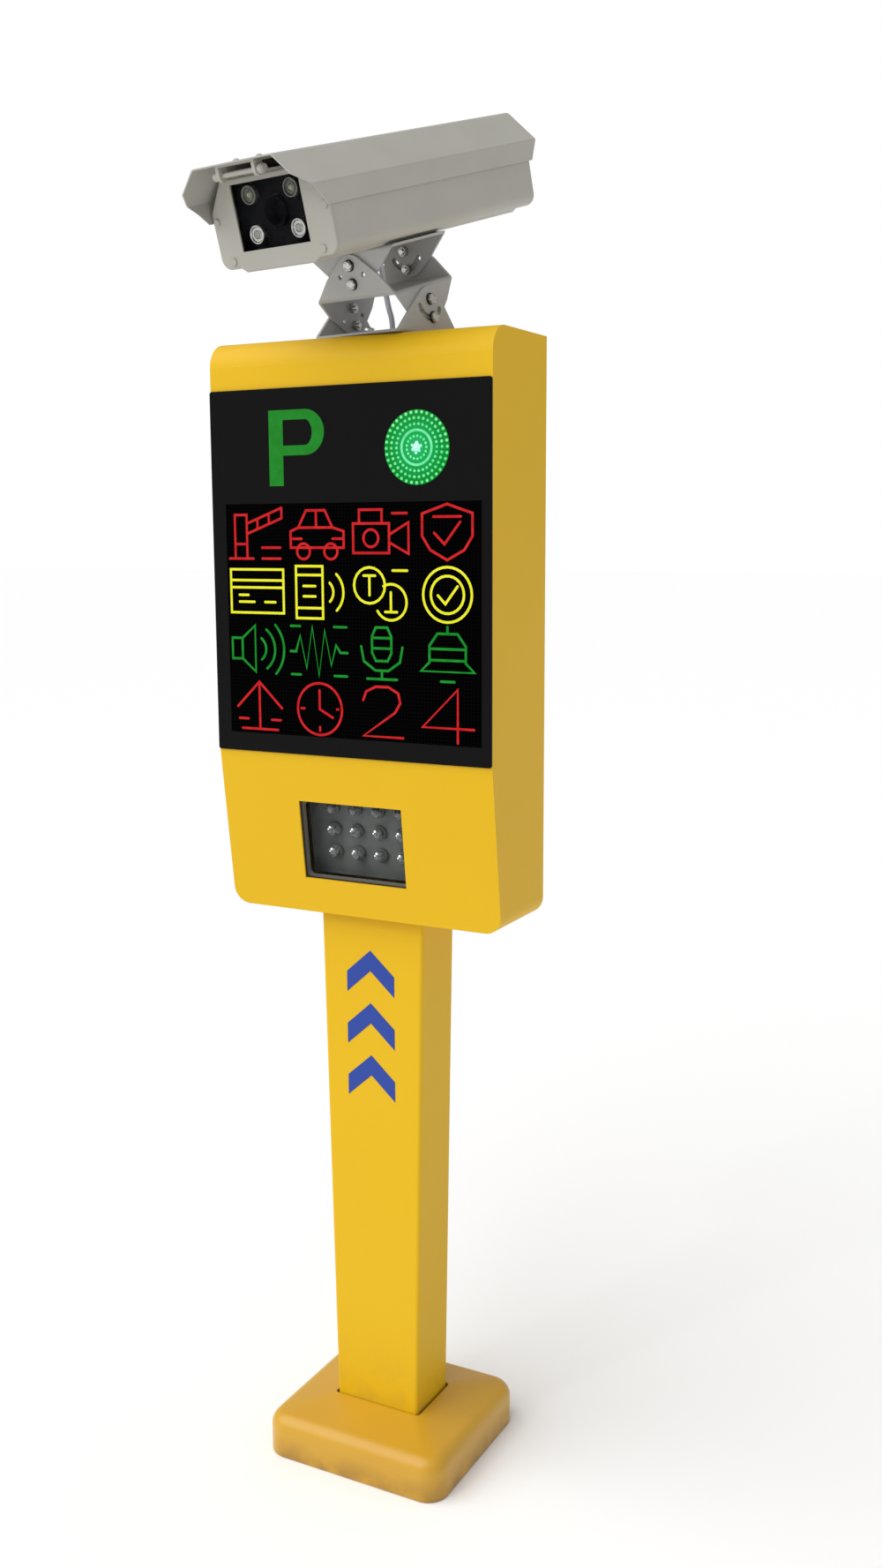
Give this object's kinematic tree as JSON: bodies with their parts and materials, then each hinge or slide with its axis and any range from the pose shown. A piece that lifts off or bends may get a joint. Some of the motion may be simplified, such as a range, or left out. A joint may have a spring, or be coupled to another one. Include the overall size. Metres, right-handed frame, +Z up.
{
  "type": "parking lane terminal",
  "caption": "Floor-standing parking lane terminal: tapered post, display cabinet with signal lamp and fill light, and a plate-reading camera on a pan, pitch and roll bracket.",
  "frame": {"origin": "centre of the floor plate's underside, on the post's axis", "axes": "+Z up, the display faces -Y, +X to the right of someone facing the display"},
  "size_m": [0.35, 0.4261, 1.5695],
  "materials": {
    "painted_yellow": "satin powder coat",
    "cover_yellow": "gloss moulded",
    "black_acrylic": "gloss",
    "black_plastic": "satin",
    "clear_glass": "polished",
    "clear_lens": "polished",
    "housing_grey": "fine powder coat",
    "bracket_grey": "powder coat",
    "zinc_steel": "zinc plated",
    "bolt_steel": "bright",
    "lock_chrome": "polished",
    "supply_case": "perforated sheet",
    "circuit_green": "solder mask",
    "terminal_grey": "moulded",
    "lever_black": "moulded",
    "gasket_rubber": "matt",
    "cable_sheath": "satin",
    "camera_black": "satin",
    "reflector_chrome": "polished",
    "gland_black": "moulded"
  },
  "bodies": {
    "station": {"base_plate": "painted_yellow", "post": "painted_yellow", "post_head_plate": "painted_yellow", "cabinet_bolts": "bolt_steel", "cabinet_shell": "painted_yellow", "display_panel": "black_acrylic", "led_module_lower": "black_plastic", "led_module_upper": "black_plastic", "display_frame": "zinc_steel", "parking_sign_board": "black_plastic", "signal_lamp": "black_plastic", "fill_window_frame": "black_plastic", "fill_window_glass": "clear_glass", "fill_lamp_bracket": "zinc_steel", "equipment_plate": "zinc_steel", "power_supply": "supply_case", "controller_board": "circuit_green", "din_rail": "zinc_steel", "terminal_block": "terminal_grey", "breaker_body": "terminal_grey", "speaker": "black_plastic", "door_hinge_fixed_leaves": "zinc_steel", "door_hinge_pins": "bolt_steel", "pan_bush": "bolt_steel", "pan_bolts": "bolt_steel"},
    "base_cover": {"base_cover": "cover_yellow"},
    "fill_lamp": {"fill_lamp_tray": "zinc_steel", "fill_lamp_board": "black_plastic", "fill_lamp_lenses": "clear_lens"},
    "breaker_lever": {"breaker_lever": "lever_black"},
    "rear_door": {"rear_door": "painted_yellow", "door_gasket": "gasket_rubber", "door_hinge_leaves": "zinc_steel", "lock_housing": "lock_chrome", "lock_nut": "lock_chrome"},
    "lock": {"lock_plug": "lock_chrome", "lock_cam": "lock_chrome"},
    "pan_bracket": {"base_channel": "bracket_grey", "lower_cable": "cable_sheath"},
    "cross_bracket": {"cross_bracket": "bracket_grey", "pitch_bolts": "bolt_steel", "roll_bolts": "bolt_steel", "upper_cable": "cable_sheath"},
    "camera_housing": {"top_channel": "bracket_grey", "housing_body": "housing_grey", "housing_rail": "housing_grey", "front_plate": "housing_grey", "front_plate_screws": "bolt_steel", "front_glass": "clear_glass", "lamp_board": "camera_black", "lamp_reflectors": "reflector_chrome", "camera_module": "camera_black", "lens_barrel": "camera_black", "rear_plate": "housing_grey", "rear_glands": "gland_black", "hinge_yoke": "housing_grey", "hinge_rod": "bolt_steel"},
    "focus_ring": {"focus_ring": "camera_black"},
    "sunshield": {"sunshield": "housing_grey", "sunshield_hinge_frame": "housing_grey"}
  },
  "joints": [
    {"name": "cover_lift", "type": "slide", "parent": "station", "child": "base_cover", "axis": [0, 0, 1], "range_m": [0, 0.08]},
    {"name": "fill_lamp_tilt", "type": "hinge", "parent": "station", "child": "fill_lamp", "pos_m": [-0.0065, -0.01859, 0.76296], "axis": [1, 0, 0], "range_deg": [-12, 12]},
    {"name": "breaker_switch", "type": "hinge", "parent": "station", "child": "breaker_lever", "pos_m": [0.092, 0.0255, 0.934], "axis": [1, 0, 0], "range_deg": [0, 50]},
    {"name": "door_hinge", "type": "hinge", "parent": "station", "child": "rear_door", "pos_m": [-0.168, 0.0565, 0.99025], "axis": [0, 0, 1], "range_deg": [0, 110]},
    {"name": "lock_turn", "type": "hinge", "parent": "rear_door", "child": "lock", "pos_m": [0.136, 0.0555, 0.99025], "axis": [0, 1, 0], "range_deg": [0, 90]},
    {"name": "pan", "type": "hinge", "parent": "station", "child": "pan_bracket", "pos_m": [0.0102, -0.0045, 1.311], "axis": [0, 0, 1], "range_deg": [-20.6, 39.4]},
    {"name": "pitch", "type": "hinge", "parent": "pan_bracket", "child": "cross_bracket", "pos_m": [0.0102, -0.0045, 1.3492], "axis": [0.9866, -0.1633, 0], "range_deg": [-46.5, 13.5], "deforming": ["lower_cable"]},
    {"name": "roll", "type": "hinge", "parent": "cross_bracket", "child": "camera_housing", "pos_m": [0.00795, -0.01809, 1.3957], "axis": [0.1566, 0.9459, 0.284], "range_deg": [-30, 30], "deforming": ["upper_cable"]},
    {"name": "focus_turn", "type": "hinge", "parent": "camera_housing", "child": "focus_ring", "pos_m": [-0.01243, -0.1412, 1.42966], "axis": [0.1566, 0.9459, 0.284], "range_deg": [-45, 45]},
    {"name": "sunshield_hinge", "type": "hinge", "parent": "camera_housing", "child": "sunshield", "pos_m": [-0.02652, -0.22633, 1.44634], "axis": [0.9866, -0.1633, 0], "range_deg": [0, 75]}
  ]
}
